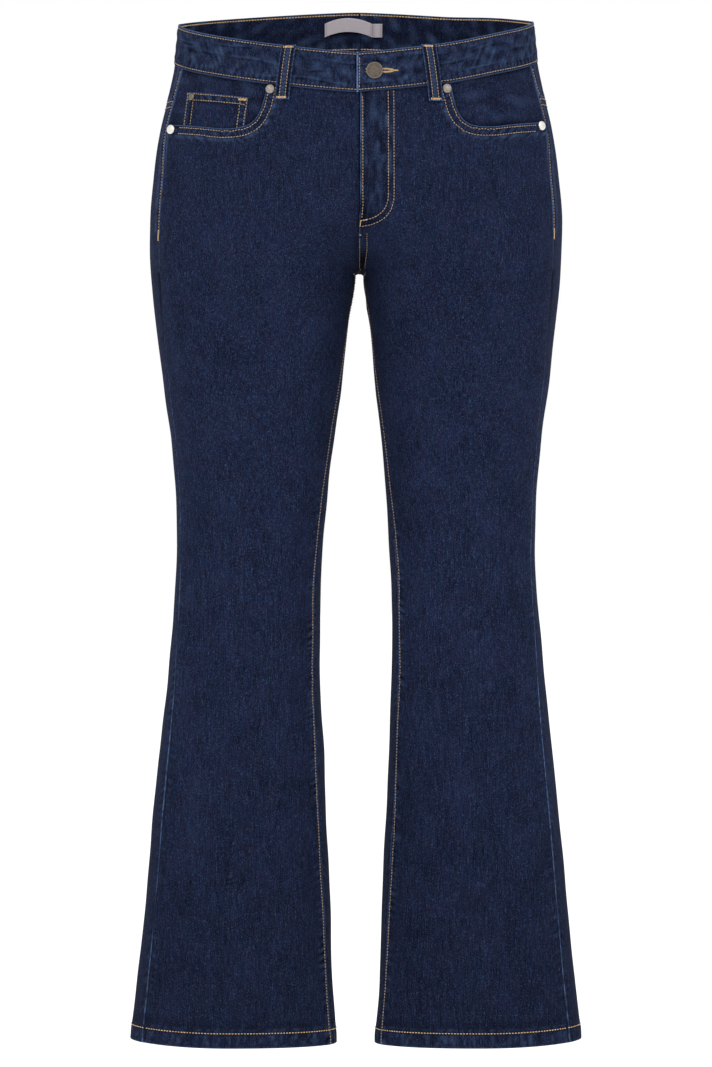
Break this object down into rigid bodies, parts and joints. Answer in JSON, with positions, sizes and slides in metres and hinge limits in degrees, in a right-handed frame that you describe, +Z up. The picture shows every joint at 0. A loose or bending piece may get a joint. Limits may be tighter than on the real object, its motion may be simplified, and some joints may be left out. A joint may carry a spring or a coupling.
{
  "type": "bootcut jeans",
  "caption": "Hollow worn-form bootcut jeans in dark denim, open at waist and hems, with fly, front pockets, coin pocket, yoke, back pockets and belt loops.",
  "frame": {"origin": "centre of the waist ring, where a wearer holds the garment up", "axes": "+Z up, from the hems to the waist; the front faces -Y; the wearer's left is +X"},
  "size_m": [0.4754, 0.238, 1.1038],
  "materials": {
    "denim": "matte",
    "thread": "satin",
    "gunmetal": "satin",
    "nickel": "satin",
    "pale_nickel": "satin",
    "old_brass": "antique",
    "ribbon": "satin",
    "zip_tape": "matte"
  },
  "bodies": {
    "root": {"front_leg_right": "denim", "back_leg_right": "denim", "yoke_right": "denim", "back_pocket_right": "denim", "pocket_facing_right": "denim", "front_leg_left": "denim", "back_leg_left": "denim", "yoke_left": "denim", "back_pocket_left": "denim", "pocket_facing_left": "denim", "coin_pocket": "denim", "waistband_right": "denim", "waistband_left": "denim", "zip": "zip_tape", "fly_shield": "denim", "loop_front_right": "denim", "loop_front_left": "denim", "loop_side_right": "denim", "loop_side_left": "denim", "loop_centre_back": "denim", "button": "gunmetal", "rivet_inner_right": "nickel", "rivet_inner_left": "nickel", "rivet_outer_right": "pale_nickel", "rivet_outer_left": "pale_nickel", "rivet_coin": "old_brass", "label": "ribbon", "size_tab": "ribbon"}
  },
  "joints": []
}
